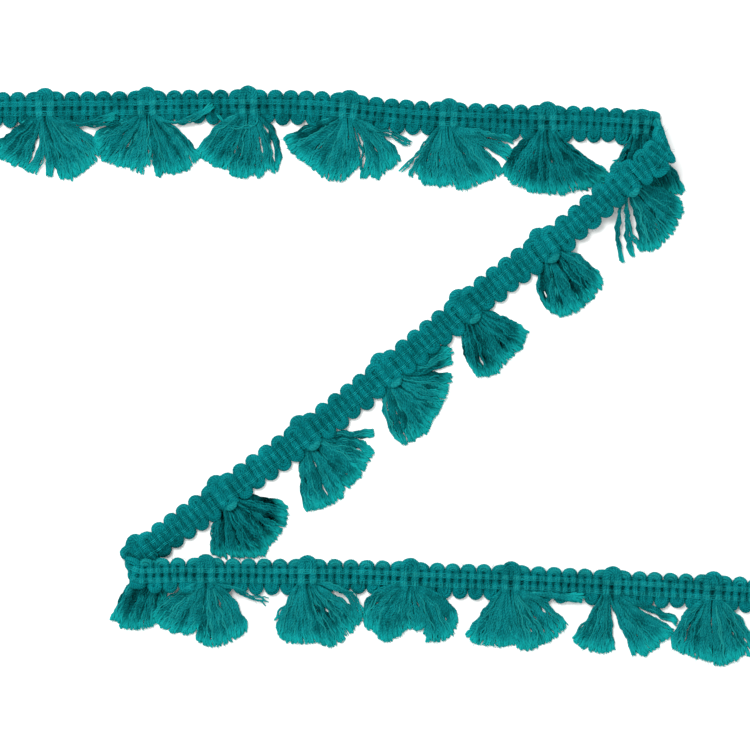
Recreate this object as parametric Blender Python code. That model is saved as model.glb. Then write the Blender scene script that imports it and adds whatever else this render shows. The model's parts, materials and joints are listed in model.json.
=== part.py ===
"""Tassel fringe trim: a braided header with small cotton tassels looped over it.

The trim lies on a flat surface in a Z. Its top run goes to the right with the
front face up, folds over to the left, comes back down as a diagonal with the
reverse face up, folds again and ends as a bottom run with the front face up.
Tables are in millimetres: x to the right and y up from the lower left corner
of the laid-out piece, z up from the surface. Each solid is then placed under
one empty whose origin is the middle of the underside.
"""

from math import cos, pi, radians, sin

import bmesh
import bpy
import numpy as np

MM = 0.001

# Header: the braided band that carries the tassels
HEADER_THICK = 1.8
HALF_WIDTH = 3.4
SCALLOP_DEPTH = 0.8
EDGE_BEVEL = 0.8
COLUMN_PITCH = 1.71
COLUMNS_BETWEEN = 10
RIB_DEPTH = 0.26
MID_HEIGHT = HEADER_THICK / 2

# Tassel seat: the recess in the front face that a tassel's strap lies in
STRAP_LENGTH = 4.6
GAP = 0.3
SEAT_HALF = STRAP_LENGTH / 2 + GAP
SEAT_WALL = 0.1
SEAT_FLOOR = 0.0
SEAT_TOP_EDGE = 2.15
SEAT_LOWER_EDGE = 2.5

# Tassel: strap over the front, loop past the top edge, root below the lower edge
STRAP_UNDER = SEAT_FLOOR + GAP
LOOP_INNER = SEAT_TOP_EDGE + GAP
LOOP_OUTER = 4.4
LOOP_NARROWING = 0.9
LOOP_DROP = 0.6
LOOP_ROUNDING = 0.6
ROOT_INNER = SEAT_LOWER_EDGE + GAP
ROOT_OUTER = 4.3
ROOT_HALF = 0.8
ROOT_SHOULDER = 0.8

# Locks: each tassel's strands in two layers of tapered locks
LOCKS_ACROSS = 7
LAYERS = 2
LOCK_STEPS = 3
LOCK_FILL = 0.42
LAYER_TOPS = (0.8, 1.66)
TIP_LAYER_TOPS = (0.58, 1.25)
LAYER_GAP = 0.14
LAYER_STAGGER = 0.35
SPLIT_SHARE = 0.07
FAN_BEND = 0.08
FAN_SPREAD = 0.42
SETTLING = 1.3

# Colours as linear red, green and blue
HEADER_COLOUR = (0.003, 0.14, 0.155)
TASSEL_COLOUR = (0.005, 0.19, 0.2)

# The path of the header's middle along each run: where it lies, and how high
TOP_RUN = (
    # x, y, z
    (-2.7, 142.5, MID_HEIGHT),
    (26.7, 142.8, MID_HEIGHT),
    (48.9, 143.1, MID_HEIGHT),
    (64.4, 143.0, MID_HEIGHT),
    (72.2, 142.7, MID_HEIGHT),
    (86.4, 141.2, MID_HEIGHT),
    (94.4, 140.6, MID_HEIGHT),
    (111.1, 139.9, MID_HEIGHT),
    (133.3, 139.2, MID_HEIGHT),
    (140.5, 138.7, MID_HEIGHT),
)
DIAGONAL = (
    # x, y, z
    (142.6, 129.2, 8.0),
    (140.2, 127.3, 6.2),
    (137.6, 125.2, 4.5),
    (135.0, 123.1, 3.4),
    (129.9, 118.4, 2.2),
    (123.6, 113.5, 1.3),
    (118.0, 109.4, MID_HEIGHT),
    (114.6, 106.9, MID_HEIGHT),
    (97.5, 93.3, MID_HEIGHT),
    (78.1, 77.7, MID_HEIGHT),
    (59.6, 63.9, MID_HEIGHT),
    (42.2, 51.4, MID_HEIGHT),
    (36.5, 47.2, MID_HEIGHT),
    (32.6, 44.3, MID_HEIGHT),
)
BOTTOM_RUN = (
    # x, y, z
    (33.6, 39.1, 3.6),
    (38.0, 39.2, 3.5),
    (43.0, 39.2, 2.9),
    (48.0, 39.1, 2.0),
    (53.0, 39.0, 1.25),
    (60.0, 38.9, MID_HEIGHT),
    (75.6, 38.8, MID_HEIGHT),
    (100.0, 37.9, MID_HEIGHT),
    (116.0, 37.4, MID_HEIGHT),
    (130.2, 36.7, MID_HEIGHT),
    (144.4, 36.0, MID_HEIGHT),
    (165.5, 34.8, MID_HEIGHT),
    (169.3, 34.5, MID_HEIGHT),
)

# The two folds: the heading of the crease, how far the band slides along it,
# the radius where the band leaves the lower layer and where it joins the upper
TOP_FOLD = {
    "foot": (144.8, 138.3, MID_HEIGHT),
    "crease": -71.6,
    "outward": 18.4,
    "slip": 7.2,
    "foot_radius": 1.15,
    "head_radius": 3.3,
    "rise": 7.6,
    "leans": (0, 180),
}
BOTTOM_FOLD = {
    "foot": (29.9, 42.2, MID_HEIGHT),
    "crease": -75.0,
    "outward": 195.0,
    "slip": 3.2,
    "foot_radius": 1.35,
    "head_radius": 1.35,
    "rise": 2.7,
    "leans": (180, 0),
}
FOLD_STEPS = 6
PATH_STEP = 0.25

# The tassels, from the trim's left end. Each row says where the strap crosses
# the header's middle, then where the first, middle and last tips of the fan lie
# in the order of the trim's own direction, then where the fan parts, if it does.
TASSELS = (
    # name, cross_x, cross_y, first_x, first_y, mid_x, mid_y, last_x, last_y, parting
    ("tassel_01", 10.4, 142.6, -0.7, 133.3, 11.1, 127.3, 21.2, 131.8, 0.46),
    ("tassel_02", 33.1, 142.9, 23.4, 131.1, 33.3, 128.4, 43.1, 131.5, None),
    ("tassel_03", 55.6, 143.1, 45.1, 132.9, 53.3, 127.3, 61.5, 130.7, 0.76),
    ("tassel_04", 78.0, 142.1, 64.2, 134.7, 76.0, 126.4, 88.0, 130.4, 0.64),
    ("tassel_05", 100.0, 140.3, 90.2, 129.1, 101.8, 124.9, 112.4, 130.9, None),
    ("tassel_06", 122.4, 139.5, 113.2, 128.2, 124.0, 123.8, 132.0, 127.4, None),
    ("tassel_07", 142.5, 138.5, 136.4, 129.3, 144.0, 125.9, 150.4, 126.9, None),
    ("tassel_08", 138.8, 126.7, 151.6, 120.6, 147.3, 111.8, 138.4, 108.9, 0.7),
    ("tassel_09", 121.0, 112.1, 133.8, 104.9, 130.4, 99.3, 123.8, 96.9, None),
    ("tassel_10", 103.2, 98.5, 116.9, 93.3, 112.9, 86.2, 106.2, 83.1, None),
    ("tassel_11", 85.7, 84.5, 100.0, 86.2, 98.2, 75.5, 88.4, 68.2, 0.3),
    ("tassel_12", 67.9, 70.3, 82.9, 67.3, 77.8, 58.7, 68.4, 53.8, None),
    ("tassel_13", 49.5, 57.0, 63.5, 52.9, 58.2, 44.6, 48.9, 45.2, None),
    ("tassel_14", 31.9, 43.7, 33.8, 28.4, 29.8, 27.3, 25.3, 29.6, None),
    ("tassel_15", 45.8, 39.1, 35.8, 28.7, 45.6, 23.8, 54.4, 25.8, 0.42),
    ("tassel_16", 68.7, 38.8, 62.2, 27.1, 70.7, 23.3, 80.1, 29.3, None),
    ("tassel_17", 90.9, 38.2, 82.4, 29.2, 91.5, 24.4, 101.5, 27.1, 0.5),
    ("tassel_18", 113.1, 37.5, 104.0, 25.1, 114.4, 22.2, 125.5, 26.7, None),
    ("tassel_19", 136.0, 36.4, 129.8, 24.0, 140.0, 21.3, 149.0, 26.7, 0.45),
    ("tassel_20", 158.4, 35.1, 150.6, 23.3, 158.7, 19.1, 166.7, 22.9, None),
)
TASSEL_COLUMNS = (
    "name cross_x cross_y first_x first_y mid_x mid_y last_x last_y parting".split()
)


def fold_rows(fold):
    """Path rows x, y, z, lean of one fold: a bend up, a wall, a bend over."""
    crease = np.array([cos(radians(fold["crease"])), sin(radians(fold["crease"]))])
    outward = np.array([cos(radians(fold["outward"])), sin(radians(fold["outward"]))])
    low, high = fold["foot_radius"], fold["head_radius"]
    wall = fold["rise"] - low - high
    total = low * pi / 2 + wall + high * pi / 2
    first_lean, last_lean = fold["leans"]
    rows = []
    for step in range(2 * FOLD_STEPS + 1):
        turn = step / FOLD_STEPS * pi / 2
        lean = first_lean + (last_lean - first_lean) * turn / pi
        stages = []
        if step <= FOLD_STEPS:
            stages.append((low * sin(turn), low * (1 - cos(turn)), low * turn))
        if step > FOLD_STEPS or (step == FOLD_STEPS and wall > 0):
            run = low * pi / 2 + wall + high * (turn - pi / 2)
            stages.append((low - high * (1 - sin(turn)), low + wall - high * cos(turn), run))
        for out, up, run in stages:
            x, y = np.array(fold["foot"][:2]) + out * outward + fold["slip"] * run / total * crease
            rows.append((x, y, fold["foot"][2] + up, lean))
    return rows


def smooth_through(rows, step):
    """Points of a curve through the rows x, y, z, lean, each span a cubic.

    In plan the tangents follow the chords. Height and lean have tangents that are level
    at a turning point, so a stretch that lies flat stays flat.
    """
    rows = np.array(rows, float)
    chord = np.linalg.norm(np.diff(rows[:, :3], axis=0), axis=1)
    knots = np.concatenate([[0], np.cumsum(chord)])
    slopes = np.gradient(rows, knots, axis=0)
    rates = np.diff(rows[:, 2:], axis=0) / chord[:, None]
    product, total = rates[:-1] * rates[1:], rates[:-1] + rates[1:]
    slopes[1:-1, 2:] = np.where(product > 0, 2 * product / np.where(product > 0, total, 1), 0)
    slopes[[0, -1], 2:] = 0
    parts = []
    for i, length in enumerate(chord):
        count = max(2, round(length / step))
        t = (np.arange(count) / count)[:, None]
        parts.append(
            rows[i] * (2 * t**3 - 3 * t**2 + 1)
            + slopes[i] * length * (t**3 - 2 * t**2 + t)
            + rows[i + 1] * (3 * t**2 - 2 * t**3)
            + slopes[i + 1] * length * (t**3 - t**2)
        )
    parts.append(rows[-1:])
    return np.concatenate(parts)


class Path:
    """The header's middle line with its own axes: along, across (to the top edge), front."""

    def __init__(self):
        rows = [(*row, 0) for row in TOP_RUN] + fold_rows(TOP_FOLD)
        rows += [(*row, 180) for row in DIAGONAL] + fold_rows(BOTTOM_FOLD)
        rows += [(*row, 0) for row in BOTTOM_RUN]
        dense = smooth_through(rows, PATH_STEP)
        self.points = dense[:, :3]
        steps = np.linalg.norm(np.diff(self.points, axis=0), axis=1)
        self.places = np.concatenate([[0], np.cumsum(steps)])
        self.length = self.places[-1]
        lean = np.radians(np.clip(dense[:, 3], 0, 180))
        outward = radians(TOP_FOLD["outward"])
        side = np.array([cos(outward), sin(outward), 0])
        up = np.array([0, 0, 1])
        along = np.gradient(self.points, self.places, axis=0)
        along /= np.linalg.norm(along, axis=1, keepdims=True)
        leaning = np.cos(lean)[:, None] * up - np.sin(lean)[:, None] * side
        # Across stays level, so that in a fold it runs along the crease.
        across = np.cross(leaning, along) * (1, 1, 0)
        across /= np.linalg.norm(across, axis=1, keepdims=True)
        front = np.cross(along, across)
        self.along = along
        self.across = across
        self.front = front / np.linalg.norm(front, axis=1, keepdims=True)

    def read(self, table, place):
        return np.array([np.interp(place, self.places, column) for column in table.T])

    def at(self, place, across, front):
        """World point, in millimetres, at a place along and an offset from the middle."""
        return (
            self.read(self.points, place)
            + across * self.read(self.across, place)
            + front * self.read(self.front, place)
        )

    def nearest(self, x, y):
        return self.places[np.argmin(np.hypot(self.points[:, 0] - x, self.points[:, 1] - y))]

    def reverse_is_up(self, place):
        return self.read(self.front, place)[2] < 0.5


def column_sections(start, end, first_seam, last_seam):
    """Sections of the ribbed columns from start to end: place, top, bottom, ridge.

    Seams lie between columns. The yarn turns back at the lower edge on odd seams and
    at the top edge on even ones, so an edge has its peak there and its valley between.
    """
    columns = last_seam - first_seam
    peak, valley = HALF_WIDTH, HALF_WIDTH - SCALLOP_DEPTH
    shoulder = HALF_WIDTH - SCALLOP_DEPTH / 3
    sections = []
    for half in range(2 * columns + 1):
        place = start + (end - start) * half / (2 * columns)
        seam = first_seam + half // 2
        if half % 2:
            sections.append((place, shoulder, shoulder, True))
        elif seam % 2:
            sections.append((place, valley, peak, False))
        else:
            sections.append((place, peak, valley, False))
    return sections


def section_outline(path, place, top, bottom, front, back):
    """Six corners of one section, from the top edge round by the front face."""
    middle = (front + back) / 2
    bevel = EDGE_BEVEL
    corners = (
        (top, middle),
        (top - bevel, front),
        (bevel - bottom, front),
        (-bottom, middle),
        (bevel - bottom, back),
        (top - bevel, back),
    )
    return [path.at(place, across, out) for across, out in corners]


def header_sections(path, seats):
    """Every section of the header as place, top, bottom, front, back."""
    half = HEADER_THICK / 2
    first_columns = round((seats[0] - SEAT_HALF) / COLUMN_PITCH)
    last_columns = round((path.length - seats[-1] - SEAT_HALF) / COLUMN_PITCH)
    spans = [(0, seats[0] - SEAT_HALF - SEAT_WALL, COLUMNS_BETWEEN - first_columns, COLUMNS_BETWEEN)]
    spans += [
        (a + SEAT_HALF + SEAT_WALL, b - SEAT_HALF - SEAT_WALL, 0, COLUMNS_BETWEEN)
        for a, b in zip(seats, seats[1:])
    ]
    spans.append((seats[-1] + SEAT_HALF + SEAT_WALL, path.length, 0, last_columns))
    sections = []
    for index, span in enumerate(spans):
        for place, top, bottom, ridge in column_sections(*span):
            depth = 0 if ridge else RIB_DEPTH
            back = depth if path.reverse_is_up(place) else 0
            sections.append((place, top, bottom, half - depth, back - half))
        if index < len(seats):
            seat = (SEAT_TOP_EDGE, SEAT_LOWER_EDGE, SEAT_FLOOR, -half)
            sections.append((seats[index] - SEAT_HALF, *seat))
            sections.append((seats[index] + SEAT_HALF, *seat))
    return sections


def build_header(path, seats):
    """Loft of the unlike sections, closed by a plain cut at each end."""
    bm = bmesh.new()
    rings = []
    for section in header_sections(path, seats):
        rings.append([bm.verts.new(point * MM) for point in section_outline(path, *section)])
    count = len(rings[0])
    for first, second in zip(rings, rings[1:]):
        for i in range(count):
            j = (i + 1) % count
            bm.faces.new((first[i], first[j], second[j], second[i]))
    bm.faces.new(rings[0])
    bm.faces.new(rings[-1])
    return object_from(bm, "header_braid", HEADER_COLOUR)


def strap_profile():
    """The strap's outline in across and front offsets: root, front, loop and back."""
    top = HEADER_THICK / 2
    return (
        (-ROOT_INNER, -ROOT_HALF),
        (-ROOT_INNER, STRAP_UNDER),
        (LOOP_INNER, STRAP_UNDER),
        (LOOP_INNER, -LOOP_DROP),
        (LOOP_OUTER - LOOP_ROUNDING, -LOOP_DROP),
        (LOOP_OUTER, 0),
        (LOOP_OUTER - LOOP_ROUNDING, top),
        (LOOP_INNER, top),
        (ROOT_SHOULDER - ROOT_OUTER, top),
        (-ROOT_OUTER, ROOT_HALF),
        (-ROOT_OUTER, -ROOT_HALF),
    )


def strap_with_root_grid(path, place):
    """The strap as a prism, its root's outer face cut into a cell for each lock."""
    bm = bmesh.new()
    profile = strap_profile()
    ends = []
    for side in (-1, 1):
        ring = []
        for across, front in profile:
            narrowing = LOOP_NARROWING if across > LOOP_INNER else 0
            ring.append(bm.verts.new((side * (STRAP_LENGTH / 2 - narrowing), across, front)))
        ends.append(ring)
    count = len(profile)
    for i in range(count):
        j = (i + 1) % count
        bm.faces.new((ends[0][i], ends[0][j], ends[1][j], ends[1][i]))
    bm.faces.new(ends[0])
    bm.faces.new(ends[1])
    long_edges = [e for e in bm.edges if on_root_face(e.verts) and abs(edge_run(e)[0]) > MM]
    bmesh.ops.subdivide_edges(bm, edges=long_edges, cuts=LOCKS_ACROSS - 1, use_grid_fill=True)
    short_edges = [e for e in bm.edges if on_root_face(e.verts) and abs(edge_run(e)[0]) < MM]
    bmesh.ops.subdivide_edges(bm, edges=short_edges, cuts=LAYERS - 1, use_grid_fill=True)
    cells = [face for face in bm.faces if on_root_face(face.verts)]
    cells.sort(key=lambda face: (round(face.calc_center_median().x, 3), face.calc_center_median().z))
    centres = [tuple(face.calc_center_median()) for face in cells]
    for vert in bm.verts:
        along, across, front = vert.co
        vert.co = path.at(place + along, across, front) * MM
    return bm, cells, centres


def on_root_face(verts):
    return all(abs(vert.co.y + ROOT_OUTER) < MM for vert in verts)


def edge_run(edge):
    return edge.verts[1].co - edge.verts[0].co


def fan_tips(tassel):
    """Tip of each lock in plan: a parabola through the first, middle and last tips."""
    first = np.array([tassel["first_x"], tassel["first_y"]])
    middle = np.array([tassel["mid_x"], tassel["mid_y"]])
    last = np.array([tassel["last_x"], tassel["last_y"]])
    parting = tassel["parting"]
    tips = []
    for lock in range(LOCKS_ACROSS * LAYERS):
        column, layer = divmod(lock, LAYERS)
        share = (column + LAYER_STAGGER * layer) / (LOCKS_ACROSS - 1 + LAYER_STAGGER)
        if parting is not None:
            share += SPLIT_SHARE * (1 if share > parting else -1) * (1 - abs(2 * share - 1))
        tips.append(
            first * (1 - share) * (1 - 2 * share)
            + middle * 4 * share * (1 - share)
            + last * share * (2 * share - 1)
        )
    return tips


def lock_plans(path, place, tips, starts, t):
    """Where every lock is in plan, a share t of the way from its root cell to its tip."""
    away = -path.read(path.across, place)[:2]
    away /= np.linalg.norm(away)
    plans = []
    for start, tip in zip(starts, tips):
        root = start[:2]
        reach = np.linalg.norm(tip - root)
        bend = root + FAN_BEND * reach * away + FAN_SPREAD * (tip - root)
        plans.append(root * (1 - t) ** 2 + bend * 2 * t * (1 - t) + tip * t**2)
    return plans


def lock_height(layer, t, lift):
    """Bottom and top of a lock: it comes down to lie on the surface, or on the layer below."""
    tops = [root + (tip - root) * t for root, tip in zip(LAYER_TOPS, TIP_LAYER_TOPS)]
    low = tops[0] + LAYER_GAP if layer else 0
    fall = lift * (1 - t) ** SETTLING
    return low + fall, tops[layer] + fall


def lock_side(plans, lock):
    """Half the lock's width, as a vector in plan towards the locks after it."""
    before = max(lock - LAYERS, lock % LAYERS)
    after = min(lock + LAYERS, len(plans) - LAYERS + lock % LAYERS)
    spread = min(np.linalg.norm(plans[i] - plans[lock]) for i in (before, after) if i != lock)
    side = plans[after] - plans[before]
    return LOCK_FILL * spread * side / np.linalg.norm(side)


def build_tassel(path, tassel):
    """Strap and root in the header's own axes, with each lock drawn out of its root cell."""
    place = path.nearest(tassel["cross_x"], tassel["cross_y"])
    bm, cells, centres = strap_with_root_grid(path, place)
    if path.reverse_is_up(place):
        # The header's front is down here, so its lower root cells are the upper layer.
        order = [i + 1 - 2 * (i % LAYERS) for i in range(len(cells))]
        cells = [cells[i] for i in order]
        centres = [centres[i] for i in order]
    starts = [path.at(place + along, across, front) for along, across, front in centres]
    tips = fan_tips(tassel)
    lift = path.at(place, 0, 0)[2] - MID_HEIGHT
    for step in range(1, LOCK_STEPS + 1):
        t = step / LOCK_STEPS
        plans = lock_plans(path, place, tips, starts, t)
        cells = [bmesh.ops.extrude_discrete_faces(bm, faces=[cell])["faces"][0] for cell in cells]
        for lock, cell in enumerate(cells):
            low, high = lock_height(lock % LAYERS, t, lift)
            place_cap(cell, plans[lock], lock_side(plans, lock), low, high)
    return object_from(bm, tassel["name"], TASSEL_COLOUR)


def place_cap(face, plan, half_side, low, high):
    """Moves a lock's end face: its corners keep their order round the lock."""
    centre = face.calc_center_median()
    corners = sorted(face.verts, key=lambda vert: vert.co.z)
    for rank, vert in enumerate(corners):
        sign = 1 if np.dot(np.array(vert.co - centre)[:2], half_side) > 0 else -1
        x, y = plan + sign * half_side
        vert.co = (x * MM, y * MM, (low if rank < 2 else high) * MM)


def object_from(bm, name, colour):
    bmesh.ops.recalc_face_normals(bm, faces=bm.faces)
    mesh = bpy.data.meshes.new(name)
    bm.to_mesh(mesh)
    bm.free()
    material = bpy.data.materials.new(name)
    material.use_nodes = True
    shader = material.node_tree.nodes["Principled BSDF"]
    shader.inputs["Base Color"].default_value = (*colour, 1)
    shader.inputs["Roughness"].default_value = 0.9
    shader.inputs["Metallic"].default_value = 0
    mesh.materials.append(material)
    obj = bpy.data.objects.new(name, mesh)
    return obj


def clear_scene():
    for obj in list(bpy.data.objects):
        bpy.data.objects.remove(obj, do_unlink=True)


def main():
    clear_scene()
    collection = bpy.data.collections.new("tassel_fringe_trim")
    bpy.context.scene.collection.children.link(collection)
    path = Path()
    tassels = [dict(zip(TASSEL_COLUMNS, row)) for row in TASSELS]
    seats = [path.nearest(tassel["cross_x"], tassel["cross_y"]) for tassel in tassels]
    objects = [build_header(path, seats)]
    objects += [build_tassel(path, tassel) for tassel in tassels]
    origin = bpy.data.objects.new("trim_origin", None)
    collection.objects.link(origin)
    for obj in objects:
        collection.objects.link(obj)
        obj.parent = origin
    corners = np.array([vert.co[:] for obj in objects for vert in obj.data.vertices])
    middle = (corners.min(axis=0) + corners.max(axis=0)) / 2
    origin.location = (-middle[0], -middle[1], -corners[:, 2].min())


main()
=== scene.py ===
"""Looks of the tassel fringe trim: every yarn of the braided header and its cotton tassels.

The header's weft goes up and down across the band and turns back in a scallop at each
edge. Chain threads cinch it in rows. Each tassel is a bundle laid over the front in two
legs, with a loop past the top edge, and its strands fan out below the lower edge.
"""

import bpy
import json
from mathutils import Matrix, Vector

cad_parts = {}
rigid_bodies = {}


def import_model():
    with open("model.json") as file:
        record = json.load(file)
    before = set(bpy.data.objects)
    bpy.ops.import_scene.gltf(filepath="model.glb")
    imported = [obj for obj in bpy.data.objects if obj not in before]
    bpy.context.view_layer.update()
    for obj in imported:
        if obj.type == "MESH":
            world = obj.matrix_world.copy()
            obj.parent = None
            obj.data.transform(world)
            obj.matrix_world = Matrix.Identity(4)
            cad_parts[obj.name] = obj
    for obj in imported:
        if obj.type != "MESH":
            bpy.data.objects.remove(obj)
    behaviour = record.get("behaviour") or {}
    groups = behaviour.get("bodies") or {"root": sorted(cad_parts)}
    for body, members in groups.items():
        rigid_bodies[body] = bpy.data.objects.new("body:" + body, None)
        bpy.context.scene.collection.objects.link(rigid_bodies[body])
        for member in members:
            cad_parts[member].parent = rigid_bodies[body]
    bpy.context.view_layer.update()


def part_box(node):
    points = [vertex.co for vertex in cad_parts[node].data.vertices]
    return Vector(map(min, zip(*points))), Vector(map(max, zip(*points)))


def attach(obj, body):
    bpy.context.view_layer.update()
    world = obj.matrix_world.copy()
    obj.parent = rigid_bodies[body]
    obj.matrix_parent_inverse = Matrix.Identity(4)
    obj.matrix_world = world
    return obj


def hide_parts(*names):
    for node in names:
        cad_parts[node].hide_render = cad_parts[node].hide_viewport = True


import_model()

import json
from math import cos, pi, radians, sin

import bpy
import numpy as np
from bpy.props import FloatProperty, FloatVectorProperty, IntProperty, PointerProperty

bl_info = {
    "name": "Tassel fringe trim",
    "version": (1, 0, 0),
    "blender": (4, 5, 0),
    "location": "3D View > Sidebar > Trim",
    "description": "Braided header with cotton tassels, folded in a Z on a pale floor",
    "category": "Object",
}

MM = 0.001
# Where the object's middle lies in the laid-out piece's own millimetres
LAY_MIDDLE = (83.42, 83.27)
# The tassel table is written in steps of a grid laid over the view, from its upper left corner
GRID_STEP = 0.2222
GRID_TOP = 166.65

# Header
HEADER_THICK = 1.8
HEADER_HALF = 3.4
MID_HEIGHT = HEADER_THICK / 2
COLUMN_PITCH = 1.71
COLUMNS_BETWEEN = 10
TASSEL_ZONE = 2.6
# How far back the columns behind a tassel's legs lie
BACK_STEP = 0.42
# Across the band: the two rows of chain stitch, and where the weft turns back
CHAIN_ROWS = (0.86, -1.29)
TOP_TURN = 1.88
LOW_TURN = -1.95

# Tassel legs and loop
LEG_OFFSET = 1.28
LEG_FOOT = -3.1
LOOP_CENTRE = 1.95
# The tassel at the foot of the upper fold, with a low loop
FOLDED_TASSEL = 6
# Half widths and depths at each point of the loop's filling and of the binding
PLUG_SIZES = np.full((9, 5), 0.55)
KNOT_SIZES = np.full((9, 5), 0.72)
# How far from a tassel's middle the two weft columns behind its legs lie
SEAT_COLUMN = 1.12

# The path of the header's middle along each run in millimetres: x, y, and z where it is raised
TOP_RUN = (
    (-2.7, 142.5), (26.7, 142.8), (48.9, 143.1), (64.4, 143.0), (72.2, 142.7), (86.4, 141.2),
    (94.4, 140.6), (111.1, 139.9), (133.3, 139.2), (140.5, 138.7),
)
DIAGONAL = (
    (142.6, 129.2, 8.0), (140.2, 127.3, 6.2), (137.6, 125.2, 4.5), (135.0, 123.1, 3.4),
    (129.9, 118.4, 2.2), (123.6, 113.5, 1.3), (118.0, 109.4), (114.6, 106.9), (97.5, 93.3), (78.1, 77.7),
    (59.6, 63.9), (42.2, 51.4), (36.5, 47.2), (32.6, 44.3),
)
BOTTOM_RUN = (
    (33.6, 39.1, 3.6), (38.0, 39.2, 3.5), (43.0, 39.2, 2.9), (48.0, 39.1, 2.0), (53.0, 39.0, 1.25),
    (60.0, 38.9), (75.6, 38.8), (100.0, 37.9), (116.0, 37.4), (130.2, 36.7), (144.4, 36.0), (165.5, 34.8),
    (169.3, 34.5),
)
# Each fold: its foot, the directions of its crease and of its way out in plan, in degrees,
# how far it slips along the crease, its bends and height, and the band's lean at both ends
TOP_FOLD = {
    "foot": (144.8, 138.3, MID_HEIGHT), "crease": -71.6, "outward": 18.4, "slip": 7.2,
    "foot_radius": 1.15, "head_radius": 3.3, "rise": 7.6, "leans": (0, 180),
}
BOTTOM_FOLD = {
    "foot": (29.9, 42.2, MID_HEIGHT), "crease": -75.0, "outward": 195.0, "slip": 3.2,
    "foot_radius": 1.35, "head_radius": 1.35, "rise": 2.7, "leans": (180, 0),
}
FOLD_STEPS = 6
PATH_STEP = 0.25

# Points along a strand
STRAND_STEPS = 15

# Stage: half the floor's side in metres, and the camera's sensor in its own millimetres
FLOOR_HALF = 1.6
SENSOR = 36

# Seeds of the random draws
HEADER_SEED = 100
CHAIN_SEED = 200
TASSEL_SEED = 300
TURN_SEED = 7

# Sides of a yarn's and of a thread's round section
YARN_SIDES = 4
THREAD_SIDES = 3

# A shade is how much lighter a yarn is than its finish: its own tone, which differs at random,
# with painted light and painted shade added. From 0.9 on it turns towards the painted
# highlight colour. Of the weft in each run: its spread and middle, the painted light that the
# chain rows add on the weft's bulges, with painted shade in the cinches between them, and the
# painted light that the top scallops add.
RUN_SHADES = ((0.7, 0.2, 0.8, 1.0), (0.2, 0.4, 0, 0.5), (0.3, 0.7, 0.8, 0.8))
# Of the three yarns in each hollow, and what the lower chain row adds
HOLLOW_SHADES = np.array([[0.2], [0.8], [0.2]])
LOW_CHAIN_SHADE = -0.5
# The paler, greyer colour that a high shade turns to: a painted highlight of fibres catching the light
HIGHLIGHT_COLOUR = (0.016, 0.27, 0.25, 1)
# How far the plies stand out of a yarn, in metres
PLY_RELIEF = 0.00016

# How much lighter or darker than the rest each tassel is, in the order along the trim. The
# seventh, thirteenth and fourteenth are darker with painted shade, as they lie in the folds' shade.
LIGHTER = (
    0.3, 0.3, 0.1, -0.4, 0.9, -1.7, -1.2, 0, -0.7, -1.4,
    0.2, 0.7, -2.2, -1.0, 0.6, -0.3, 0.5, 1.2, 0.3, 0.6,
)

# Where each tassel's bundle crosses the header's middle, in millimetres
CROSSINGS = (
    (10.0, 142.6), (32.7, 142.9), (55.1, 143.1), (77.4, 142.1), (99.7, 140.3),
    (121.7, 139.5), (142.5, 138.5), (138.8, 126.7), (121.0, 112.1), (103.2, 98.5),
    (85.7, 84.5), (67.9, 70.3), (49.5, 57.0), (31.9, 43.7), (45.8, 39.1),
    (68.3, 38.8), (91.1, 38.2), (113.4, 37.5), (136.0, 36.4), (158.4, 35.1),
)

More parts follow.
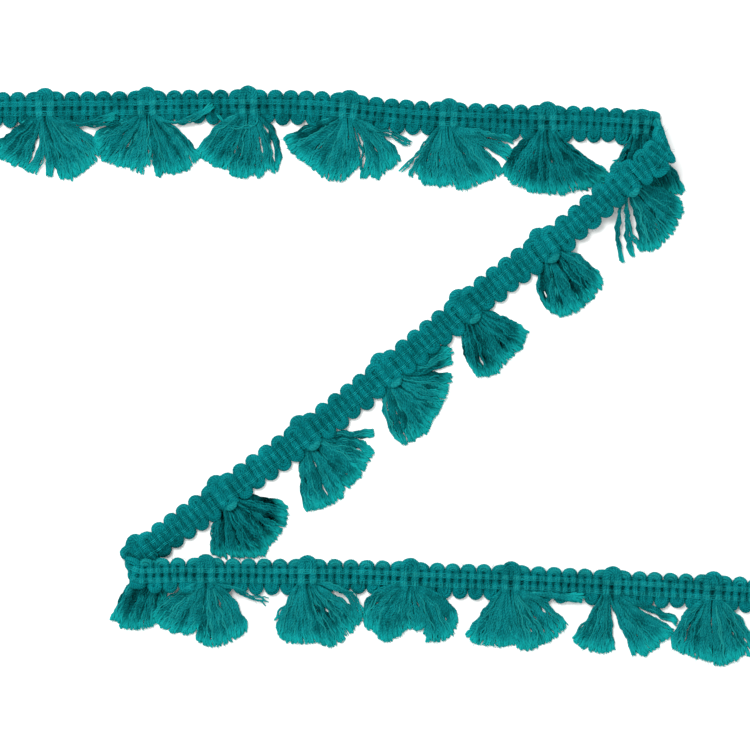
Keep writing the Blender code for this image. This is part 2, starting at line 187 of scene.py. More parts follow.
# One group for each tassel and in it one row for each lock of strands, in grid steps: the
# way from the last lock's end to the first corner of its cut edge, the way along that edge,
# how many strands it has, how far it bows to the left of its way from root to tip, and a
# last 1 where it lies over the others. Each tassel starts from the grid's own corner.
LOCKS = (
    # step_x, step_y, run_x, run_y, strands, bow, over
    ((-4, 146, 3, 11, 9, -3), (0, 0, 13, 8, 9, -1), (0, 0, 14, 3, 9, 0), (1, 3, 9, 3, 9, 5),
     (11, 1, 6, 2, 6, 2), (8, 1, 11, 0, 9, 1), (0, 0, 12, -6, 11, 3), (0, 0, 14, -12, 14, 4),
     (1, -3, 2, -12, 9, 4), (15, -26, -8, 7, 5, -2, 1), (10, -13, -5, 7, 3, -5, 1)),
    ((92, 137, 4, 10, 6, -3), (0, 0, 7, 14, 10, -5), (0, 0, 13, 4, 9, -2), (1, 1, 12, 1, 8, 0),
     (1, 2, 12, 5, 8, 0), (1, -8, 9, 0, 7, 0), (4, 10, 6, 0, 6, 1), (1, -4, 11, 2, 8, 2),
     (0, 0, 12, -4, 9, 4), (0, 0, 13, -12, 15, 6), (12, -54, 3, 4, 5, -9, 1)),
    ((198, 150, 3, 8, 8, -6), (0, 0, 13, 7, 12, -4), (0, 1, 15, 4, 12, -2), (1, 5, 15, 3, 10, 0),
     (0, 0, 12, -4, 8, 0), (0, 4, 6, -3, 5, 2), (1, -4, 6, -11, 6, 6), (-2, 8, 7, 5, 6, 1),
     (0, -2, 4, -8, 4, 9), (-62, -50, 3, 4, 2, 13, 1)),
    ((285, 139, 4, 10, 11, -4), (0, 0, 14, 13, 13, -2), (0, 0, 16, 10, 11, 0), (0, 3, 12, 5, 9, 0),
     (0, 1, 12, -1, 9, 1), (0, 0, 15, -14, 15, 3), (1, 12, 1, 0, 1, 8), (2, 0, 5, 1, 6, 11),
     (5, -2, 7, 2, 9, 8), (1, -4, 12, -7, 11, 7), (0, -1, 8, -6, 8, 8), (8, -14, 3, -7, 6, 1, 1)),
    ((400, 171, 4, 1, 2, 0), (4, 5, 4, 0, 3, -2), (6, -3, 6, 9, 9, -6), (0, 1, 16, 2, 12, -3),
     (0, 0, 16, -1, 12, -1), (1, 5, 11, -2, 9, 0), (0, 1, 11, -5, 9, 0), (0, -1, 11, -3, 9, 3),
     (0, 0, 12, -7, 10, 6), (6, -13, 6, -10, 8, 2), (-3, -12, 2, 5, 5, 2)),
    ((502, 171, 10, 12, 10, -5), (0, 1, 15, 5, 10, -4), (1, 2, 17, 2, 12, -2), (0, 1, 17, 0, 12, -1),
     (0, 0, 12, -3, 9, 0), (0, 0, 14, -3, 9, 0), (0, 0, 14, -5, 13, -1), (0, -1, 9, -9, 12, -3)),
    ((611, 166, 7, 12, 10, 2), (2, 2, 20, 8, 12, 0), (2, 2, 18, 2, 12, 0), (4, 0, 18, 3, 12, 2),
     (1, -3, 1, -2, 2, 3)),
    ((680, 199, 3, 12, 11, 1), (0, 1, -6, 10, 10, 0), (0, 1, -7, 13, 11, 0), (-1, 2, -13, 11, 12, 0),
     (-1, 1, -12, 2, 9, 0), (0, -1, -3, -2, 2, -7), (-6, 7, -4, 1, 3, -4), (-6, 4, -3, 0, 3, -8)),
    ((599, 273, 4, 10, 12, 3), (0, 3, -8, 8, 10, 2), (0, 3, -7, 4, 8, 1), (0, 1, -8, 7, 9, 1),
     (0, 1, -9, 4, 9, 0), (-1, 0, -11, 3, 10, -1), (-1, -2, -7, -3, 9, -3), (-1, -2, -4, -5, 6, -7)),
    ((521, 326, 6, 7, 11, 1), (-1, 1, -3, 11, 11, 1), (-1, 2, -8, 7, 9, 0), (-1, 1, -8, 8, 9, 0),
     (-1, 2, -6, 7, 9, 0), (0, 1, -10, 3, 9, -1), (0, 0, -9, 0, 10, -4), (-1, -1, -5, -9, 10, -6)),
    ((446, 344, 5, 6, 6, 0), (1, 1, -2, 5, 5, 0), (1, 2, 1, 6, 6, 0), (-1, 11, 0, 8, 9, 2),
     (-2, 2, -2, 7, 8, 1), (0, 1, -3, 8, 8, 0), (-1, 1, -4, 8, 8, 0), (0, 1, -5, 6, 8, 0),
     (-1, 1, -3, 8, 7, 0), (0, 1, -3, 6, 6, 0), (0, 0, -9, 4, 8, 0), (-1, 1, -8, 4, 8, -1),
     (-1, 2, -5, -1, 6, -4), (-1, 0, -5, -5, 6, -7)),
    ((373, 431, 0, 5, 6, 2), (-7, 8, 8, 9, 14, 4), (-2, 2, -5, 8, 9, 2), (-1, 1, -2, 7, 8, 1),
     (-1, 1, -8, 9, 9, 0), (-1, 1, -7, 6, 9, 0), (-2, 1, -5, 0, 6, 0), (3, 1, 0, 6, 6, 0),
     (0, 1, -11, 6, 10, 0), (-1, 1, -12, 4, 11, -3), (0, 0, -12, 3, 13, -5)),
    ((280, 502, 7, 6, 11, 2), (0, 1, 0, 8, 9, 2), (0, 1, -2, 8, 9, 1), (-1, 2, -7, 8, 9, 1),
     (0, 2, -7, 6, 8, 0), (-12, -14, 4, 6, 5, 6, 1), (7, 9, -3, 9, 8, 0), (-1, 2, -13, 1, 10, -1),
     (-1, 0, -11, 0, 10, -2), (-1, 0, -9, 0, 11, -2), (-2, 0, -9, -1, 9, -4), (-1, 0, -6, -3, 8, -4)),
    ((166, 600, -8, 12, 8, 0), (1, 9, -12, 7, 10, 0), (-1, 0, -15, 1, 11, 0), (-1, -1, -10, -1, 9, -1),
     (0, -5, -9, -3, 9, -2)),
    ((151, 614, 8, 11, 10, -4), (1, 1, 11, 6, 9, -3), (0, 1, 11, -1, 8, -2), (0, 2, 11, -1, 9, -1),
     (0, 0, 8, -6, 7, 0), (-3, 14, 10, 5, 9, 0), (0, 0, 11, -1, 9, 0), (0, 0, 12, -4, 9, 2),
     (0, 0, 9, -5, 9, 5), (0, 1, 7, -7, 8, 7), (19, -24, 2, -6, 3, 3, 1)),
    ((273, 619, 1, 3, 1, 1), (4, 9, 5, 9, 11, -3), (1, 1, 11, 2, 9, -2), (0, 0, 12, 0, 10, -1),
     (0, 0, 13, -1, 10, 0), (2, 1, 9, 4, 9, 0), (0, 0, 12, -7, 9, 2), (0, -1, 9, -7, 9, 4),
     (-1, -1, 11, -11, 12, 5), (-4, 2, 6, -8, 8, 13, 1)),
    ((363, 618, 5, 12, 8, -13), (2, -2, 7, 5, 8, -10), (0, 0, 5, 7, 8, -8), (0, 1, 9, 0, 9, -6),
     (0, -2, 10, -4, 9, -5), (0, -1, 7, -7, 8, -3), (0, 2, 8, 1, 7, -2), (1, 0, 7, -1, 7, 1),
     (2, 14, 4, -2, 5, 5), (0, 0, 12, 1, 9, 6), (0, -1, 9, -6, 9, 7), (1, -1, 6, -14, 10, 8)),
    ((467, 636, 6, 6, 9, -2), (0, 1, 12, 2, 9, -2), (1, 0, 12, 1, 9, -3), (1, 1, 7, -2, 7, -3),
     (1, 0, 7, -2, 7, -1), (2, 3, 10, 4, 9, 0), (1, 0, 8, -4, 9, 2), (1, 0, 12, -4, 10, 4),
     (1, -1, 11, -7, 11, 6), (0, -3, 7, -5, 8, 8), (17, -31, -3, 7, 6, 1)),
    ((572, 637, 3, 4, 3, 2), (0, 1, 7, 5, 6, 1), (0, 1, 9, 3, 8, 0), (0, 1, 11, 1, 9, -1),
     (0, 0, 11, -3, 9, 0), (19, 4, 4, 1, 3, 3), (0, -2, 10, 2, 9, 1), (1, -1, 12, -8, 10, 1),
     (-1, -2, 13, -8, 10, 2), (-2, -2, 4, -4, 5, 1), (2, -6, 3, -5, 5, 2)),
    ((672, 647, 10, 6, 11, -7), (1, 0, 11, 3, 9, -4), (0, 1, 10, 2, 9, -2), (0, 1, 9, 1, 8, -1),
     (1, 3, 9, 1, 8, 0), (0, 0, 9, -4, 8, 1), (0, 0, 8, -3, 8, 2), (1, -4, 9, 2, 6, 3),
     (0, -6, 7, -10, 7, 3)),
)


# The header's path


def heading(angle):
    """The direction in plan at an angle in degrees from x."""
    return np.array([cos(radians(angle)), sin(radians(angle)), 0])


def run_rows(run, lean):
    """Path rows x, y, z, lean of one run, at the height of a flat band where none is given."""
    return [(*(*row, MID_HEIGHT)[:3], lean) for row in run]


def fold_rows(fold):
    """Path rows x, y, z, lean of one fold: a bend up, a wall, a bend over.

    Each bend is a quarter circle, so its way out and its height are a sine and one less a
    cosine of the turn. The path slips along the crease as it goes.
    """
    foot, crease, outward = np.array(fold["foot"]), heading(fold["crease"]), heading(fold["outward"])
    low, high = fold["foot_radius"], fold["head_radius"]
    wall = fold["rise"] - low - high
    total = low * pi / 2 + wall + high * pi / 2
    first_lean, last_lean = fold["leans"]
    rows = []
    for step in range(2 * FOLD_STEPS + 1):
        turn = step / FOLD_STEPS * pi / 2
        lean = first_lean + (last_lean - first_lean) * turn / pi
        stages = []
        if step <= FOLD_STEPS:
            stages.append((low * sin(turn), low * (1 - cos(turn)), low * turn))
        if step > FOLD_STEPS or (step == FOLD_STEPS and wall > 0):
            run = low * pi / 2 + wall + high * (turn - pi / 2)
            stages.append((low - high * (1 - sin(turn)), low + wall - high * cos(turn), run))
        for out, up, run in stages:
            point = foot + out * outward + fold["slip"] * run / total * crease + (0, 0, up)
            rows.append((*point, lean))
    return rows


def smooth_through(rows, step):
    """Points of a curve through the rows x, y, z, lean.

    Each span is the cubic that meets both rows with their slopes. In plan the slopes
    follow the chords. Those of height and lean are level at a turning point, so a stretch
    that lies flat stays flat.
    """
    rows = np.array(rows, float)
    chord = np.linalg.norm(np.diff(rows[:, :3], axis=0), axis=1)
    knots = np.concatenate([[0], np.cumsum(chord)])
    slopes = np.gradient(rows, knots, axis=0)
    rates = np.diff(rows[:, 2:], axis=0) / chord[:, None]
    product, total = rates[:-1] * rates[1:], rates[:-1] + rates[1:]
    slopes[1:-1, 2:] = np.where(product > 0, 2 * product / np.where(product > 0, total, 1), 0)
    slopes[[0, -1], 2:] = 0
    parts = []
    for i, length in enumerate(chord):
        count = max(2, round(length / step))
        t = (np.arange(count) / count)[:, None]
        parts.append(
            rows[i] * (2 * t**3 - 3 * t**2 + 1)
            + slopes[i] * length * (t**3 - 2 * t**2 + t)
            + rows[i + 1] * (3 * t**2 - 2 * t**3)
            + slopes[i + 1] * length * (t**3 - t**2)
        )
    parts.append(rows[-1:])
    return np.concatenate(parts)


class Path:
    """The header's middle line with its own axes: along, across (to the top edge), front.

    Across is level: it is a pointer that leans over in the folds, crossed with along.
    Front is along crossed with across.
    """

    def __init__(self):
        rows = run_rows(TOP_RUN, 0) + fold_rows(TOP_FOLD) + run_rows(DIAGONAL, 180)
        rows += fold_rows(BOTTOM_FOLD) + run_rows(BOTTOM_RUN, 0)
        dense = smooth_through(rows, PATH_STEP)
        self.points = dense[:, :3]
        self.places = lengths_to(self.points)
        self.length = self.places[-1]
        lean = np.radians(np.clip(dense[:, 3], 0, 180))
        side, up = heading(TOP_FOLD["outward"]), np.array([0, 0, 1])
        along = unit(np.gradient(self.points, self.places, axis=0))
        leaning = np.cos(lean)[:, None] * up - np.sin(lean)[:, None] * side
        self.across = unit(np.cross(leaning, along) * (1, 1, 0))
        self.front = unit(np.cross(along, self.across))

    def read(self, table, place):
        """A table's rows at any array of places."""
        return together(*(np.interp(place, self.places, column) for column in table.T))

    def at(self, place, across, front):
        """Points at places along the header and offsets from its middle."""
        middle, side, up = (self.read(table, place) for table in (self.points, self.across, self.front))
        return middle + together(across) * side + together(front) * up

    def shows_reverse(self, place):
        """Whether the reverse face looks up at a place."""
        return self.read(self.front, place)[..., 2] < 0

    def nearest(self, x, y):
        """The place along the header that is nearest to a point in plan."""
        return self.places[np.argmin(np.hypot(self.points[:, 0] - x, self.points[:, 1] - y))]


def together(*parts):
    """Arrays and numbers brought to one shape and laid side by side along a last axis."""
    return np.stack(np.broadcast_arrays(*parts), axis=-1)


def lengths_to(points):
    """The length along each line of points from its first to every one."""
    steps = np.linalg.norm(np.diff(points, axis=-2), axis=-1)
    return np.concatenate([0 * steps[..., :1], np.cumsum(steps, axis=-1)], axis=-1)


def unit(vectors):
    """Each vector divided by its length."""
    return vectors / np.linalg.norm(vectors, axis=-1, keepdims=True)


def smoothstep(low, high, value):
    """0 up to low, 1 from high on, and between them 3 t squared less 2 t cubed."""
    t = np.clip((value - low) / (high - low), 0, 1)
    return t * t * (3 - 2 * t)


# Yarn meshes


def put(name, data):
    """A new object in the scene, at the origin."""
    obj = bpy.data.objects.new(name, data)
    bpy.context.scene.collection.objects.link(obj)
    return obj


class Skein:
    """Yarns along the header's path gathered into one mesh, with its random draws."""

    def __init__(self, path, seed):
        self.path, self.random = path, np.random.default_rng(seed)
        self.points, self.quads, self.caps = [], [], []
        self.quad_uv, self.cap_uv, self.tips, self.shades = [], [], [], []
        self.count = 0

    def wander(self, along, wavelengths, size):
        """A smooth drift of each line: the mean of sines along it, each with its own phase."""
        lines = along.shape[0]
        total = np.zeros_like(along)
        for wavelength in wavelengths:
            phase = self.random.uniform(0, 2 * pi, (lines, 1))
            stretch = self.random.uniform(0.8, 1.25, (lines, 1))
            total += np.sin(2 * pi * along / (wavelength * stretch) + phase)
        return size * total / len(wavelengths)

    def add(self, centres, reference, radii, sides, tips=0, shades=None):
        """Closed round tubes along many centre lines at once.

        A ring's point is the centre plus the radius times cosine of its angle along the side
        vector and sine of it along the up vector. Side is the tangent crossed with the
        reference direction, and up is side crossed with the tangent. A fan of triangles to
        a point just past each end closes it. Tips and shades fit the points or repeat.
        """
        lines, count = centres.shape[:2]
        tangent = unit(np.gradient(centres, axis=1))
        side = unit(np.cross(tangent, reference))
        up = np.cross(side, tangent)
        angle = 2 * pi * np.arange(sides) / sides
        ring = np.cos(angle)[:, None] * side[:, :, None] + np.sin(angle)[:, None] * up[:, :, None]
        rings = centres[:, :, None] + radii[:, :, None, None] * ring
        first = centres[:, 0] - 0.6 * radii[:, 0, None] * tangent[:, 0]
        last = centres[:, -1] + 0.6 * radii[:, -1, None] * tangent[:, -1]
        rings = rings.reshape(lines, -1, 3)
        self.points.append(np.concatenate([rings, first[:, None], last[:, None]], axis=1).reshape(-1, 3))
        size = count * sides + 2
        k = np.arange(sides)
        after = (k + 1) % sides
        ring_starts = sides * np.arange(count)[:, None]
        near, far = ring_starts[:-1] + k, ring_starts[:-1] + after
        quads = together(near, near + sides, far + sides, far).reshape(-1, 4)
        end = ring_starts[-1]
        caps = np.concatenate([together(size - 2, k, after), together(size - 1, end + after, end + k)])
        offsets = self.count + size * np.arange(lines)[:, None, None]
        v = lengths_to(centres) + self.random.uniform(0, 20, (lines, 1))
        quad_u = (k[:, None] + (0, 0, 1, 1)) / sides
        quad_v = together(v[:, :-1], v[:, 1:], v[:, 1:], v[:, :-1])
        cap_u = (k[:, None] + np.array([[(0.5, 0, 1)], [(0.5, 1, 0)]])) / sides
        shades = self.random.uniform(-1, 1, (lines, 1)) if shades is None else shades
        self.quads.append((quads + offsets).reshape(-1, 4))
        self.caps.append((caps + offsets).reshape(-1, 3))
        self.quad_uv.append(together(quad_u, quad_v[:, :, None]).reshape(-1, 2))
        self.cap_uv.append(together(cap_u, v[:, [0, -1], None, None]).reshape(-1, 2))
        for kept, values in ((self.tips, tips), (self.shades, shades)):
            values = np.broadcast_to(values, (lines, count))
            rings = np.repeat(values, sides, axis=1)
            kept.append(np.concatenate([rings, values[:, :1], values[:, -1:]], axis=1).ravel())
        self.count += lines * size

    def lay(self, places, across, out, radii, sides, shades=None):
        """Tubes along places on the band, with their offsets across it and out of it."""
        places, across, out, radii = np.broadcast_arrays(places, across, out, radii)
        front = self.path.read(self.path.front, places)
        self.add(self.path.at(places, across, out), front, radii, sides, shades=shades)

    def build(self, name, material):
        """One mesh object of all the yarns, its place in its mesh, riding on the trim."""
        points = np.concatenate(self.points) - (*LAY_MIDDLE, 0)
        quads, caps = np.concatenate(self.quads), np.concatenate(self.caps)
        mesh = bpy.data.meshes.new(name)
        mesh.from_pydata(points * MM, [], quads.tolist() + caps.tolist())
        uv = mesh.uv_layers.new(name="yarn")
        spots = np.concatenate([*self.quad_uv, *self.cap_uv])
        uv.data.foreach_set("uv", spots.astype(np.float32).ravel())
        for label, values in (("tip", self.tips), ("shade", self.shades)):
            attribute = mesh.attributes.new(label, "FLOAT", "POINT")
            attribute.data.foreach_set("value", np.concatenate(values).astype(np.float32))
        mesh.polygons.foreach_set("use_smooth", np.ones(len(mesh.polygons), bool))
        mesh.materials.append(material)
        obj = put(name, mesh)
        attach(obj, "root")
        return obj


def add_bundle(skein, line, sizes, count, radius, shades):
    """Yarns laid round a line as a flattened ring.

    line holds place, across and front offset at each point. A yarn's offset in the band's
    plane is the cosine of its angle times the half width, and its offset to the front the
    sine times the front or back depth. sizes holds the half width at the front, at the
    middle and at the back, the front depth and the back depth at each point, all to the
    bundle's outside.
    """
    flow = unit(np.gradient(line[:, :2], axis=0))
    along = np.broadcast_to(lengths_to(line), (count, len(line)))
    angle = 2 * pi * (np.arange(count)[:, None] + 0.5) / count + skein.wander(along, (13, 5), 0.26)
    rise = np.sin(angle)
    on_front, middle, on_back, front, back = (column - radius for column in sizes.T)
    width = middle + (on_front - middle) * smoothstep(0.2, 0.9, rise)
    width = width + (on_back - middle) * smoothstep(0, 0.45, -rise)
    sideways = np.cos(angle) * width + skein.wander(along, (4, 1.9), 0.04)
    out = rise * np.where(rise > 0, front, back) + skein.wander(along, (3.1, 1.6), 0.05)
    place = line[:, 0] + sideways * flow[:, 1]
    across = line[:, 1] - sideways * flow[:, 0]
    radii = radius * (1 + skein.wander(along, (2.3, 1.1), 0.1) + 0.22 * smoothstep(0, 0.5, -rise))
    skein.lay(place, across, line[:, 2] + out, radii, YARN_SIDES, shades)


def near_chain(across, span):
    """1 on each chain row and 0 away from it: e to minus the fourth power of the distance."""
    return sum(np.exp(-(((across - row) / span) ** 4)) for row in CHAIN_ROWS)


def add_fuzz(skein, roots, ways, lengths, radius, tip=0.5):
    """Loose fibres: each leaves its root along its way, and a random curl grows as a square."""
    count = len(roots)
    t = np.linspace(0, 1, 3)[None, :, None]
    curl = skein.random.normal(0, 0.45, (count, 1, 3))
    centres = roots[:, None] + lengths[:, None, None] * (t * ways[:, None] + t**2 * curl)
    centres[..., 2] = np.maximum(centres[..., 2], radius)
    radii = radius * (1 - 0.5 * t[..., 0]) * np.ones((count, 1))
    skein.add(centres, (0.13, 0.21, 0.97), radii, THREAD_SIDES, tips=tip)


# The header


def tassel_places(path):
    """Where along the header each tassel sits."""
    return [path.nearest(*crossing) for crossing in CROSSINGS]


def weft_columns(path, seats):
    """Place of each weft column, its number between two tassels, and how far back it lies.

    Two more columns lie behind each tassel's legs, as far apart as the legs.
    """
    columns = [(seat - SEAT_COLUMN, COLUMNS_BETWEEN + 1, 1) for seat in seats]
    columns += [(seat + SEAT_COLUMN, COLUMNS_BETWEEN + 2, 1) for seat in seats]
    before = round((seats[0] - TASSEL_ZONE) / COLUMN_PITCH)
    after = round((path.length - seats[-1] - TASSEL_ZONE) / COLUMN_PITCH)
    spans = [(0, seats[0] - TASSEL_ZONE, COLUMNS_BETWEEN - before, before)]
    spans += [(a + TASSEL_ZONE, b - TASSEL_ZONE, 0, COLUMNS_BETWEEN) for a, b in zip(seats, seats[1:])]
    spans.append((seats[-1] + TASSEL_ZONE, path.length, 0, after))
    for start, end, first, count in spans:
        for i in range(count):
            columns.append((start + (end - start) * (i + 0.5) / count, first + i + 1, 0))
    return sorted(columns)


def weft_stroke(place, number, back):
    """One column of weft as place, across, front offset: odd columns go down, even ones up."""
    share = np.linspace(0, 1, 11)
    across = TOP_TURN + (LOW_TURN - TOP_TURN) * (share if number % 2 else 1 - share)
    return together(place, across, -BACK_STEP * back)


def weft_turn(column, following, stretch):
    """The half turn into the next column: a scallop.

    Its place goes with the cosine of the turn, and its height with a power of the sine.
    stretch holds how much higher than round the turns at the top and the low edge are.
    """
    place, number, back = column
    gap = (following[0] - place) / 2
    turn = np.linspace(0, pi, 9)[1:-1]
    rise = COLUMN_PITCH / 2 * np.sin(turn) ** 0.75
    depth = -BACK_STEP * (back + (following[2] - back) * turn / pi)
    level = LOW_TURN - rise * stretch[1] if number % 2 else TOP_TURN + rise * stretch[0]
    return together(place + gap * (1 - np.cos(turn)), level, depth)


def weft_sizes(line):
    """Half widths and depths of the weft: full in the turns and where the chains cross it."""
    across = line[:, 1]
    past = np.maximum(across - TOP_TURN, LOW_TURN - across) / (COLUMN_PITCH / 2)
    edge = smoothstep(-0.1, 0.6, past)
    full = np.maximum(near_chain(across, 0.68), edge)
    behind = smoothstep(0, 0.4, -line[:, 2])
    cinch = near_chain(across, 0.35)
    return together(
        0.6 + 0.34 * full,
        0.62 + 0.32 * full + 0.3 * behind * (1 - full),
        0.93 - 0.06 * cinch + 0.06 * behind,
        0.64 + 0.26 * full - 0.44 * behind,
        0.9 - 0.18 * cinch - 0.06 * edge - 0.4 * behind,
    )


def lay_ground(skein, start, end):
    """Warp threads side by side in the middle of the band, under the weft, dark with painted shade where
    they show in the gaps between the columns, and less dark towards the top turn.
    """
    place = np.arange(start, end, 1.2)
    rows = np.linspace(LOW_TURN - 0.3, TOP_TURN - 0.05, 11)[:, None]
    out = skein.wander(np.tile(place, (11, 1)), (9, 4), 0.05) - 0.05
    # Painted shade: darkened as the gaps' shade, less so in the upper two rows
    shades = 1.8 * smoothstep(1.0, 1.7, rows) - 2.6
    skein.lay(place, rows, out, 0.27, THREAD_SIDES, shades)


def fill_hollows(skein, columns):
    """Short yarns in the hollow of each half turn, and one between two columns on the reverse.

    Where the reverse shows, the latter also fills the notch between two scallops. Outside the
    notch it is darkened with painted shade, as the groove between the columns.
    """
    for (place, number, back), (following, _, next_back) in zip(columns, columns[1:]):
        middle = (place + following) / 2
        if back and next_back:
            across = np.linspace(LOW_TURN + 0.3, TOP_TURN - 0.3, 8)[None]
            skein.lay(middle, across, -0.76, 0.3, YARN_SIDES, 0.2)
            continue
        inner, outer = TOP_TURN + 0.1, TOP_TURN + 0.45
        if number % 2:
            inner, outer = LOW_TURN + 0.5, LOW_TURN - 0.3
        places = middle + np.array([[-0.28], [0], [0.28]])
        across = np.linspace(inner, outer, 5)
        out = 0.14 + 0.14 * np.sin(np.linspace(0, pi, 5)) - 0.2 * (back + next_back)
        skein.lay(places, across, out, 0.26, YARN_SIDES, HOLLOW_SHADES)
        places = middle + skein.wander(np.linspace(0, 3.5, 8)[None], (2.5,), 0.05)
        notch = 0.6 if skein.path.shows_reverse(middle) else -0.1
        lowest, highest = (-0.1, notch) if number % 2 else (0.6 * notch, -0.1)
        across = np.linspace(LOW_TURN - lowest, TOP_TURN + highest, 8)[None]
        out = skein.wander(across, (1.3,), 0.04) - 0.46
        # Painted shade of the groove between two columns, taken off in the scallops' notch
        shades = 1.4 * smoothstep(1.4, 2.0, abs(across)) - 0.9
        skein.lay(places, across, out, 0.29, YARN_SIDES, shades)


def header_runs(path):
    """Name and first and last place of each run, parted in the middle of each fold."""
    top = path.nearest(*TOP_FOLD["foot"][:2]) + 5
    low = path.nearest(*BOTTOM_FOLD["foot"][:2]) + 2
    return (("top_run", 0, top), ("diagonal", top, low), ("bottom_run", low, path.length))


def weave_header(path, sizes, material):
    """The weft of each run as bundles of yarn, with the loose fibres that stand off it."""
    columns = weft_columns(path, tassel_places(path))
    radius = sizes.weft_yarn / MM / 2
    places = np.array([column[0] for column in columns])
    reverse = path.shows_reverse(places)
    low_turns = np.random.default_rng(TURN_SEED).uniform(1.25, 1.95, len(columns))
    low_turns = low_turns - 0.35 * reverse
    low_turns[[back > 0 for _, _, back in columns]] = 1
    stretch = together(np.where(reverse, 1.2, 1), low_turns)
    runs = header_runs(path)
    crease = runs[1][2]
    stretch[abs(places - crease) < 3] = 0.4
    for index, (name, start, end) in enumerate(runs):
        skein = Skein(path, HEADER_SEED + index)
        draw = skein.random
        strokes = []
        for i, column in enumerate(columns):
            if not start <= column[0] < end:
                continue
            strokes.append(weft_stroke(*column))
            if i + 1 < len(columns):
                strokes.append(weft_turn(column, columns[i + 1], stretch[i]))
        line = np.concatenate(strokes)
        place, across, _ = line.T
        # Painted shade: the end of the diagonal is darkened where it lies in the shade of the bottom run
        under_run_shade = smoothstep(crease - 15, crease - 9, place) * smoothstep(crease, crease - 2, place)
        spread, middle, row_light_and_shade, scallop_light = RUN_SHADES[index]
        shades = draw.uniform(-spread, spread, (sizes.weft_yarns, 1)) + middle
        shades = shades - 2.6 * under_run_shade * smoothstep(1.2, -1.6, across)
        # Painted light on the weft's bulges at the chain rows, painted shade in the cinches between
        shades = shades + row_light_and_shade * (near_chain(across, 0.5) - 0.3)
        # Painted light on the top scallops
        shades = shades + scallop_light * smoothstep(1.9, 2.6, across)
        add_bundle(skein, line, weft_sizes(line), sizes.weft_yarns, radius, shades)
        lay_ground(skein, start, end)
        fill_hollows(skein, [column for column in columns if start <= column[0] < end])
        count = round((end - start) * sizes.fuzz)
        place = draw.uniform(start, end, count)
        angle = draw.uniform(0, 2 * pi, count)
        across, front = 3.2 * np.cos(angle), 0.75 * np.sin(angle)
        roots = path.at(place, across, front)
        ways = path.at(place, 1.6 * across, 2 * front) - roots
        ways = unit(ways + draw.normal(0, 0.5, (count, 3)))
        add_fuzz(skein, roots, ways, draw.uniform(0.4, 1.2, count), 0.028)
        obj = skein.build("header_" + name, material)
        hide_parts("header_braid")


def sew_chains(path, sizes, material):
    """Chain stitch along each run, with painted light over the columns and painted shade between them.

    On the front two fine threads part round each column or leg and meet between: each one's
    distance from the row is a squared cosine of the count of columns passed, and so is its
    height. Three thicker ones run under them and fill the gap between the columns, darkened there
    with painted shade. On the reverse two beaded threads lie over the columns, lighter with
    painted light where they cross them.
    """
    seats = tassel_places(path)
    crossed = [place for place, _, back in weft_columns(path, seats) if not back]
    crossed += [seat + side * LEG_OFFSET for seat in seats for side in (-1, 1)]
    crossed = np.sort(crossed)
    radius = sizes.chain_thread / MM / 2
    for index, (name, start, end) in enumerate(header_runs(path)):
        skein = Skein(path, CHAIN_SEED + index)
        place = np.arange(start, end, COLUMN_PITCH / 4)
        pair, three = np.tile(place, (2, 1)), np.tile(place, (3, 1))
        phase = np.interp(place, crossed, np.arange(len(crossed)))
        over = np.cos(pi * (phase - np.round(phase))) ** 2
        on_leg = sum(smoothstep(2.9, 2.0, abs(place - seat)) for seat in seats)
        for row in CHAIN_ROWS:
            level = 0 if row > 0 else LOW_CHAIN_SHADE
            across = row + np.array([[1], [-1]]) * (0.24 + (0.16 + 0.08 * on_leg) * over)
            across = across + skein.wander(pair, (5, 2.1), 0.06)
            out = 0.42 + 0.3 * over + on_leg * (0.1 + 0.12 * over) + skein.wander(pair, (3,), 0.06)
            radii = radius * (1 + skein.wander(pair, (2.9, 1.3), 0.1))
            # Painted light over the columns, painted shade between them
            skein.lay(place, across, out, radii, THREAD_SIDES, level + 1.7 * over - 0.9)
            across = row + np.array([[0.42], [0], [-0.42]]) + skein.wander(three, (4, 2), 0.06)
            out = 0.42 + 0.12 * over + 0.15 * on_leg
            # Painted shade: the thicker threads are dark in the gaps between the columns
            skein.lay(place, across, out, 0.24, THREAD_SIDES, level + 0.6 * over - 2.0)
            across = row + np.array([[0.17], [-0.17]]) + 0.1 * np.cos(pi * phase)
            beads = radius * (0.8 + 0.9 * over)
            out = -0.76 - 0.12 * over
            # Painted light on the beads over the columns
            skein.lay(place, across, out, beads, THREAD_SIDES, 1.6 * over - 0.5)
        skein.build("chain_" + name, material)


# The tassels


def leg_line(seat, rise):
    """The bundle's line: up one leg, round the loop past the top edge, down the other."""
    climb = np.linspace(LEG_FOOT, LOOP_CENTRE, 13)
    turn = np.linspace(0, pi, 11)[1:-1]
    left = together(-LEG_OFFSET, climb, 0.08)
    across = LOOP_CENTRE + rise * np.sin(turn) ** 0.9
    loop = together(-LEG_OFFSET * np.cos(turn), across, 0.08 - 0.1 * np.sin(turn))
    right = left[::-1] * (-1, 1, 1)
    return np.concatenate([left, loop, right]) + (seat, 0, 0)


def leg_sizes(line):
    """Half widths and depths of a leg, pulled in a little where the chain rows cross it."""
    across = line[:, 1]
    weft = np.exp(-(((across - 2.6) / 0.5) ** 2))
    foot = smoothstep(-2.1, LEG_FOOT, across)
    loop = smoothstep(LOOP_CENTRE - 0.7, LOOP_CENTRE + 0.3, across)
    full = np.maximum(near_chain(across, 0.72), loop)
    return together(
        0.9 + 0.2 * full - 0.1 * foot,
        0.9 + 0.18 * full - 0.1 * foot,
        1.05 - 0.1 * foot,
        0.84 + 0.2 * full - 0.25 * foot,
        0.9 - 0.14 * near_chain(across, 0.25) - 0.4 * weft - 0.2 * foot,
    )


def plug_line(seat):
    """A few yarns laid straight in the middle of the loop, that fill it."""
    across = np.linspace(0.9, 3.4, 9)
    return together(seat, across, 0.25 - 0.25 * smoothstep(2.6, 3.4, across))


